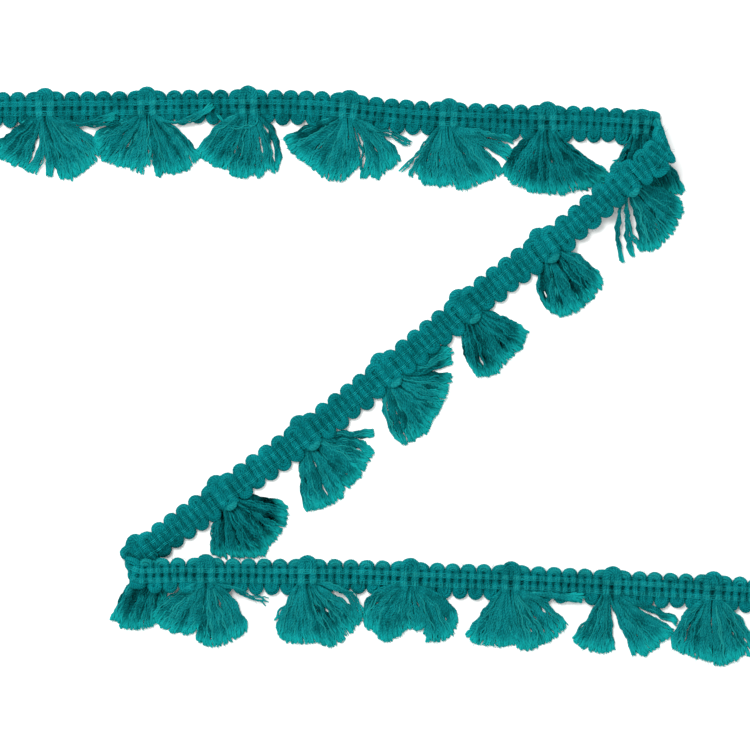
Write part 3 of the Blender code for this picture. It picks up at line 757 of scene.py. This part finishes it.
def knot_line(seat, reverse):
    """The binding below the lower edge: a short bundle laid across, proud where the reverse shows."""
    turn = np.linspace(0, pi, 9)
    out = (-0.4 if reverse else -0.1) - 0.5 * np.sin(turn) ** 0.7
    return together(seat - 0.9 * np.cos(turn), -2.8 - 0.5 * np.sin(turn), out)


def strand_plan(rows, skein, fullness):
    """Of each strand: share of the way along the fan, tip, bow, if on top, group, least ridge.

    Tips are spread evenly along a lock's cut edge and a little past it, each with its own
    small shift. The strands of a lock of up to three lie high, so they are thin and lighter
    with painted light.
    """
    table = np.array([(*row, 0)[:7] for row in rows])
    corners = np.cumsum(table[:, :4].reshape(-1, 2), axis=0)
    strands, bow, over = table[:, 4:].T
    counts = np.round(strands * fullness).astype(int)
    lock = np.repeat(np.arange(len(rows)), counts)
    number = np.concatenate([np.arange(count) for count in counts])
    spot = (number + 0.5) / counts[lock]
    spot = spot + skein.random.uniform(-0.4, 0.4, len(lock)) / counts[lock]
    wide = 1.12 * spot - 0.06
    tip = corners[::2][lock] + wide[:, None] * table[lock, 2:4]
    tip = tip * (GRID_STEP, -GRID_STEP) + (0, GRID_TOP)
    share = ((np.cumsum(strands) - strands)[lock] + strands[lock] * spot) / strands.sum()
    group = lock * 50 + (spot * np.maximum(1, strands / 3.5)[lock]).astype(int)
    return share, tip, bow[lock] * GRID_STEP, over[lock] > 0, group, 0.8 * (strands < 4)[lock]


def add_fan(skein, seat, rows, lighter, sizes):
    """Strands from the legs to the tips, with the fibres that come loose from them.

    In plan a strand is a cubic curve: it leaves the leg downwards, the outer ones outwards
    too, and ends on its lock's cut edge. Its height falls from the leg's to its layer's by
    a power of the share still to go. Over the header's face it is kept above the weft, and
    under the header below it.
    """
    path, draw, radius = skein.path, skein.random, sizes.strand / MM / 2
    share, tip, bow, over, group, least = strand_plan(rows, skein, sizes.fullness)
    count, steps = len(share), STRAND_STEPS
    t = np.linspace(0, 1, steps)[None, :, None]
    reverse = path.shows_reverse(seat)
    side = 2 * share - 1
    offset = 2.1 * side + 0.3 * np.sign(side) * (1 - abs(side))
    ridge = np.maximum(draw.uniform(0, 1, group.max() + 1)[group], least)
    layer = 0.55 * draw.uniform(0, 1, count) + 0.45 * ridge
    layer = np.where(over, 1.05 + 0.2 * layer, layer)
    depth = -0.05 + 0.8 * (1 - layer if reverse else layer)
    start = path.at(seat + offset, np.full(count, -1.9), depth)
    root, top = start[:, :2], layer[:, None]
    down = -path.read(path.across, seat)[:2]
    along = path.read(path.points, seat + 0.5)[:2] - path.read(path.points, seat - 0.5)[:2]
    along = unit(along - down * np.dot(along, down))
    reach = np.linalg.norm(tip - root, axis=1)[:, None]
    way = (tip - root) / reach
    short = np.where(draw.uniform(0, 1, count) < 0.2, draw.uniform(0.03, 0.16, count), 0)
    short = np.where(over, 0, short) + draw.normal(0, 0.012, count)
    tip = tip - way * reach * short[:, None]
    straight = np.clip(way @ down, 0, 1)[:, None]
    aside = together(-way[:, 1], way[:, 0])
    left = aside * bow[:, None] / 0.75
    spread = (side * abs(side))[:, None]
    leaves = root + 1.2 * down
    first = root + (1.4 - 0.8 * spread**2 + 0.18 * reach * straight**2) * down
    first = first + 1.3 * spread * along + left * 0.8
    second = tip - 0.36 * (tip - leaves) + left * 1.1
    p0, p1, p2, p3 = (p[:, None] for p in (root, first, second, tip))
    flat = p0 * (1 - t) ** 3 + 3 * p1 * t * (1 - t) ** 2 + 3 * p2 * t * t * (1 - t) + p3 * t**3
    t = t[..., 0]
    length = reach * t
    shared = np.broadcast_to(length[:1], (group.max() + 1, steps))
    shared = skein.wander(shared, (11, 6), 0.3)[group] * top
    own = skein.wander(length, (5.6, 3.3), 0.42)
    loose = smoothstep(0.05, 0.5, t)
    flat = flat + aside[:, None] * ((shared + own) * loose)[..., None]
    pile = radius + top * (1.5 - 0.85 * t)
    height = pile + (start[:, 2:] - pile) * (1 - t) ** 1.7 + skein.wander(length, (4.5, 3), 0.14) * loose
    middle = path.read(path.points, seat)
    apart = flat - middle[:2]
    across, beside = -(apart @ down), abs(apart @ along)
    near = smoothstep(-4.3, -3.3, across) * smoothstep(2.1, 2.9, beside)
    lift = middle[2] - MID_HEIGHT
    bound, limit = (np.minimum, 0.2) if reverse else (np.maximum, HEADER_THICK + radius + 0.15)
    height = height + near * (bound(height, lift + limit + 0.3 * top) - height)
    height = np.maximum(height, radius)
    centres = np.concatenate([flat, height[..., None]], axis=2)
    thick = radius * draw.uniform(0.85, 1.1, (count, 1)) * (2.1 - 1.2 * np.minimum(top, 1))
    # Painted highlight: some strands catch the light, the higher ones more often; they are thinner and
    # turn paler
    light = draw.uniform(0, 1, count) < 0.1 + 0.25 * layer
    thick = np.where(light[:, None], 0.75 * thick, thick)
    # Painted light and shade: groups on high ridges lighter, those in low valleys darker, with a random
    # tone for each group
    clump_tone_and_shade = 4.5 * (ridge - 0.5) + draw.normal(0.3, 0.5, group.max() + 1)[group]
    # Painted shade on tassels whose reverse faces up, with each tassel's own offset
    shades = draw.uniform(-0.6, 0.5, count) + clump_tone_and_shade + lighter - 0.9 * reverse
    highlight = draw.uniform(1.0, 2.0, count) + 0.5 * min(lighter, 0)
    shades = np.where(light, highlight, np.clip(shades, -3.6, 1.0))
    shape = 0.85 + 0.15 * smoothstep(0, 0.3, t) + 0.25 * smoothstep(0.75, 0.95, t)
    shape = shape - 0.45 * smoothstep(0.97, 1, t)
    bright = np.where(over, 0.4, draw.uniform(0.45, 1, count))
    # Paler cut tips: the frayed ends' own paleness, with painted light from the floor shining through
    # them
    tips = smoothstep(0.76, 1.0, t) ** 1.4 * bright[:, None]
    # Painted shade: each strand darker near its root, just under the legs
    shades = shades[:, None] - 1.3 * smoothstep(0.16, 0.04, t)
    skein.add(centres, (0, 0, 1), thick * shape, YARN_SIDES, tips=tips, shades=shades)
    ends = centres[:, -1]
    ways = unit(ends - centres[:, -3])
    ways = unit(ways + draw.normal(0, 0.25, ways.shape))
    roots = ends - 0.3 * ways + draw.normal(0, 0.4 * radius, ends.shape)
    add_fuzz(skein, roots, ways, draw.uniform(0.4, 0.8, len(ends)), 0.05, 1.0)
    picked = draw.integers(0, count, round(count * sizes.fuzz / 4))
    spot = draw.integers(4, steps - 1, len(picked))
    roots = centres[picked, spot]
    ways = unit(centres[picked, spot + 1] - roots) + draw.normal(0, 0.6, roots.shape)
    add_fuzz(skein, roots, unit(ways), draw.uniform(0.6, 1.8, len(roots)), 0.03)


def lay_tassels(path, sizes, material):
    """Each tassel's bundle, the yarns that fill its loop, its binding and its strands."""
    radius = sizes.leg_yarn / MM / 2
    for index, (seat, lighter, rows) in enumerate(zip(tassel_places(path), LIGHTER, LOCKS)):
        skein = Skein(path, TASSEL_SEED + index)
        reverse = path.shows_reverse(seat)
        rise = 1.9 if reverse else 1.5
        line = leg_line(seat, 0.8 if index == FOLDED_TASSEL else rise)
        shades = skein.random.uniform(0.5, 0.9, (sizes.leg_yarns, 1))
        # Painted light on the legs' bulges at the chain rows
        shades = shades + 0.7 * near_chain(line[:, 1], 0.5)
        add_bundle(skein, line, leg_sizes(line), sizes.leg_yarns, radius, shades)
        add_bundle(skein, plug_line(seat), PLUG_SIZES, 5, radius, 0.5)
        add_bundle(skein, knot_line(seat, reverse), KNOT_SIZES, 7, radius, 1.3)
        add_fan(skein, seat, rows, lighter, sizes)
        name = f"tassel_{index + 1:02d}"
        obj = skein.build(name + "_yarns", material)
        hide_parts(name)


# Finishes


def feed(tree, made, inputs):
    """Sets a node's inputs, by name or number, or links them where the value is a socket."""
    for key, value in inputs.items():
        if isinstance(value, bpy.types.NodeSocket):
            tree.links.new(value, made.inputs[key])
        else:
            made.inputs[key].default_value = value


def node(tree, kind, inputs=None, **settings):
    """A new node with its settings and inputs."""
    made = tree.nodes.new(kind)
    for key, value in settings.items():
        setattr(made, key, value)
    feed(tree, made, inputs or {})
    return made


def cotton_group():
    """Plied cotton: lobes that wind round the yarn with painted shade in the grooves between them,
    loose fibres along them, paler tips partly lit with painted light, and the painted light,
    shade and highlight that the shade attribute brings.

    The lobe's height is a cosine of the count of plies passed, which grows with the angle
    round the yarn and the length along it.
    """
    tree = bpy.data.node_groups.new("plied_cotton", "ShaderNodeTree")
    for direction, kind, labels in (
        ("INPUT", "NodeSocketColor", ("Yarn", "GrooveShade", "Tip")),
        ("INPUT", "NodeSocketFloat", ("Turn", "Plies")),
        ("OUTPUT", "NodeSocketColor", ("Colour",)),
        ("OUTPUT", "NodeSocketFloat", ("Height", "Roughness")),
    ):
        for label in labels:
            tree.interface.new_socket(label, in_out=direction, socket_type=kind)

    def new(kind, inputs=None, **settings):
        return node(tree, "ShaderNode" + kind, inputs, **settings).outputs

    def maths(operation, *values):
        return new("Math", dict(enumerate(values)), operation=operation)[0]

    def multiply_add(*values):
        return maths("MULTIPLY_ADD", *values)

    def mix(factor, first, second, blend="MIX"):
        return new("Mix", {0: factor, 6: first, 7: second}, data_type="RGBA", blend_type=blend)[2]

    def noise(vector, scale, detail, dimensions="3D"):
        inputs = {"Vector": vector, "Scale": scale, "Detail": detail}
        return new("TexNoise", inputs, noise_dimensions=dimensions)[0]

    given = tree.nodes.new("NodeGroupInput").outputs
    around, along, _ = new("SeparateXYZ", {0: new("UVMap", uv_map="yarn")[0]})
    twist = maths("ADD", around, maths("DIVIDE", along, given["Turn"]))
    plies = maths("MULTIPLY", twist, given["Plies"])
    lobe = multiply_add(maths("COSINE", maths("MULTIPLY", plies, 2 * pi)), 0.5, 0.5)
    streak = {0: maths("MULTIPLY", twist, 9.0), 1: maths("MULTIPLY", along, 0.9)}
    fibres = noise(new("CombineXYZ", streak)[0], 1.0, 2.0, "2D")
    place = new("TexCoord")["Object"]
    tone_and_shade_patches, specks = noise(place, 330.0, 3.0), noise(place, 1900.0, 1.0)
    shade, tip = (new("Attribute", attribute_name=name)["Fac"] for name in ("shade", "tip"))
    # Painted highlight: from a shade of 0.9 on the colour turns towards the highlight colour
    highlight = {"Value": shade, "From Min": 0.9, "From Max": 2.4, "To Max": 0.8}
    # Painted shade between the plies: the colour goes to the groove's where the lobes sink
    raised = multiply_add(fibres, 0.7, multiply_add(lobe, 0.8, -0.2))
    # Painted light and shade from the shade attribute, on random patches of tone and painted shade, and
    # specks
    light = multiply_add(tone_and_shade_patches, 1.5, multiply_add(specks, 0.5, 0.05))
    light = multiply_add(shade, 0.22, light)
    tone_and_light = new("CombineXYZ", {0: light, 1: light, 2: light})[0]
    colour = mix(1.0, mix(raised, given["GrooveShade"], given["Yarn"]), tone_and_light, "MULTIPLY")
    colour = mix(new("MapRange", highlight)[0], colour, HIGHLIGHT_COLOUR)
    outputs = {
        "Colour": mix(tip, colour, given["Tip"]),
        "Height": multiply_add(fibres, 0.45, maths("MULTIPLY", lobe, 0.55)),
        "Roughness": multiply_add(fibres, 0.2, 0.7),
    }
    node(tree, "NodeGroupOutput", outputs)
    return tree


def finish(name, inputs):
    """A new material, and its own shader with its inputs set."""
    material = bpy.data.materials.new(name)
    material.use_nodes = True
    shader = material.node_tree.nodes["Principled BSDF"]
    feed(material.node_tree, shader, inputs)
    return material, shader


def cotton(name):
    """The finish of the header's, the chains' or the tassels' yarn, made once."""
    if name in bpy.data.materials:
        return bpy.data.materials[name]
    chosen = bpy.context.scene.trim_colours
    yarn, groove_shade, tip, turn, bump = {
        "header_yarn": (chosen.header, chosen.header_groove_shade, chosen.header, 1.0, 0.8),
        "chain_yarn": (chosen.chain, chosen.chain_groove_shade, chosen.chain, 1.0, 0.5),
        "tassel_yarn": (chosen.tassel, chosen.tassel_groove_shade, chosen.tip, 1.4, 0.5),
    }[name]
    group = bpy.data.node_groups.get("plied_cotton") or cotton_group()
    sheen = {"Sheen Weight": 0.2, "Sheen Roughness": 0.4, "Sheen Tint": (0.02, 0.8, 0.78, 1)}
    material, shader = finish(name, {"Specular IOR Level": 0.0, **sheen})
    tree = material.node_tree
    inputs = {"Yarn": (*yarn, 1), "GrooveShade": (*groove_shade, 1), "Tip": (*tip, 1), "Turn": turn, "Plies": 2.0}
    plied = node(tree, "ShaderNodeGroup", inputs, node_tree=group).outputs
    relief = {"Strength": bump, "Distance": PLY_RELIEF, "Height": plied["Height"]}
    normal = node(tree, "ShaderNodeBump", relief).outputs["Normal"]
    inputs = {"Base Color": plied["Colour"], "Roughness": plied["Roughness"], "Normal": normal}
    feed(tree, shader, inputs)
    return material


# Add-on


def length(name, description, default):
    return FloatProperty(name=name, description=description, default=default, unit="LENGTH")


def colour(name, description, default):
    return FloatVectorProperty(
        name=name, description=description, default=default, subtype="COLOR", min=0, max=1
    )


class TrimSizes(bpy.types.PropertyGroup):
    weft_yarn: length("Weft yarn", "Diameter of the header's weft yarn", 0.00066)
    weft_yarns: IntProperty(name="Yarns in the weft", description="Yarns laid in as one weft", default=8)
    chain_thread: length("Chain thread", "Diameter of the chain thread", 0.0002)
    leg_yarn: length("Leg yarn", "Diameter of the yarns in a tassel's legs", 0.00066)
    leg_yarns: IntProperty(name="Yarns in a leg", description="Yarns that show round a leg", default=12)
    strand: length("Strand", "Diameter of a tassel's loose strand", 0.0004)
    fullness: FloatProperty(name="Fullness", description="Strands against the table's count", default=1.7)
    fuzz: FloatProperty(name="Fuzz", description="Loose fibres for each millimetre of header", default=4)


class TrimColours(bpy.types.PropertyGroup):
    header: colour("Header", "Header cotton", (0.002, 0.162, 0.163))
    # Painted shade: the grooves' colours are the cotton darkened between the plies
    header_groove_shade: colour("Header grooves", "Header cotton between the plies", (0.001, 0.066, 0.088))
    # Lighter than the header's cotton: painted light on the chain rows
    chain: colour("Chain", "Chain thread", (0.006, 0.275, 0.285))
    chain_groove_shade: colour("Chain grooves", "Chain thread between the plies", (0.003, 0.14, 0.16))
    tassel: colour("Tassel", "Tassel cotton", (0.003, 0.155, 0.158))
    tassel_groove_shade: colour("Tassel grooves", "Tassel cotton between the plies", (0.001, 0.065, 0.08))
    # Paler at the cut tips: the frayed ends' own paleness, with painted light from the floor shining
    # through them
    tip: colour("Tips", "Cotton at the cut tips", (0.006, 0.36, 0.35))


class TrimStage(bpy.types.PropertyGroup):
    floor: colour("Floor", "Colour of the floor", (0.94, 0.95, 0.94))
    light: FloatProperty(name="Light", description="Power of the lamp", default=11.5, unit="POWER")
    sky: FloatProperty(name="Sky", description="Strength of the even light", default=0.98)
    height: length("Camera height", "Camera above the floor", 1.2)
    view: length("View", "Width of floor that the camera sees", 0.16665)


class TRIM_OT_header(bpy.types.Operator):
    """Weave the header's weft"""

    bl_idname = "trim.header"
    bl_label = "Weave header"

    def execute(self, context):
        path = Path()
        _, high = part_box("header_braid")
        reach = path.at(path.places, HEADER_HALF, 0)[:, 1].max() - LAY_MIDDLE[1]
        if abs(reach * MM - high.y) > 0.001:
            raise RuntimeError("the packed header isn't where the path says")
        weave_header(path, context.scene.trim_sizes, cotton("header_yarn"))
        return {"FINISHED"}


class TRIM_OT_chains(bpy.types.Operator):
    """Sew the chain threads along the header"""

    bl_idname = "trim.chains"
    bl_label = "Sew chains"

    def execute(self, context):
        sew_chains(Path(), context.scene.trim_sizes, cotton("chain_yarn"))
        return {"FINISHED"}


class TRIM_OT_tassels(bpy.types.Operator):
    """Lay the tassels: legs, loops and strands"""

    bl_idname = "trim.tassels"
    bl_label = "Lay tassels"

    def execute(self, context):
        lay_tassels(Path(), context.scene.trim_sizes, cotton("tassel_yarn"))
        return {"FINISHED"}


class TRIM_OT_stage(bpy.types.Operator):
    """Set the floor, the light and the camera"""

    bl_idname = "trim.stage"
    bl_label = "Set stage"

    def execute(self, context):
        scene = context.scene
        chosen = scene.trim_stage
        mesh = bpy.data.meshes.new("floor")
        corners = np.array([(-1, -1, 0), (1, -1, 0), (1, 1, 0), (-1, 1, 0)]) * FLOOR_HALF
        mesh.from_pydata(corners, [], [(0, 1, 2, 3)])
        paint = {"Base Color": (*chosen.floor, 1), "Roughness": 0.9, "Specular IOR Level": 0.2}
        mesh.materials.append(finish("floor_paint", paint)[0])
        floor = put("floor", mesh)
        lamp = bpy.data.lights.new("softbox", "AREA")
        lamp.shape = "RECTANGLE"
        lamp.size, lamp.size_y = 0.6, 0.5
        lamp.energy = chosen.light
        box = put("softbox", lamp)
        box.location = (-0.35, 0.45, 1.0)
        box.rotation_mode = "QUATERNION"
        box.rotation_quaternion = (-box.location).to_track_quat("-Z", "Y")
        world = bpy.data.worlds.new("sky")
        world.use_nodes = True
        even = {"Color": (1, 1, 1, 1), "Strength": chosen.sky}
        feed(world.node_tree, world.node_tree.nodes["Background"], even)
        scene.world = world
        camera = bpy.data.cameras.new("camera")
        camera.sensor_width = SENSOR
        camera.lens = SENSOR * chosen.height / chosen.view
        eye = put("camera", camera)
        x, y = (GRID_TOP / 2 - np.array(LAY_MIDDLE)) * MM
        eye.location = (x, y, chosen.height)
        camera.clip_start, camera.clip_end = 0.05, 20
        scene.camera = eye
        scene.view_settings.view_transform = "Standard"
        return {"FINISHED"}


class TRIM_PT_panel(bpy.types.Panel):
    """Sizes, colours and steps of the trim"""

    bl_idname = "TRIM_PT_panel"
    bl_label = "Tassel fringe trim"
    bl_space_type = "VIEW_3D"
    bl_region_type = "UI"
    bl_category = "Trim"

    def draw(self, context):
        layout = self.layout
        for group in (context.scene.trim_sizes, context.scene.trim_colours, context.scene.trim_stage):
            box = layout.box()
            for key in group.__annotations__:
                box.prop(group, key)
        for operator in OPERATORS:
            layout.operator(operator.bl_idname)


OPERATORS = (TRIM_OT_header, TRIM_OT_chains, TRIM_OT_tassels, TRIM_OT_stage)
GROUPS = {"trim_sizes": TrimSizes, "trim_colours": TrimColours, "trim_stage": TrimStage}


def register():
    for made in (*GROUPS.values(), *OPERATORS, TRIM_PT_panel):
        bpy.utils.register_class(made)
    for name, group in GROUPS.items():
        setattr(bpy.types.Scene, name, PointerProperty(type=group))


def unregister():
    for name in GROUPS:
        delattr(bpy.types.Scene, name)
    for made in reversed((*GROUPS.values(), *OPERATORS, TRIM_PT_panel)):
        bpy.utils.unregister_class(made)


def main():
    for obj in list(bpy.data.objects):
        if obj.name in ("Cube", "Light", "Camera"):
            bpy.data.objects.remove(obj, do_unlink=True)
    register()
    bpy.ops.trim.header()
    bpy.ops.trim.chains()
    bpy.ops.trim.tassels()
    bpy.ops.trim.stage()


if __name__ == "__main__":
    main()
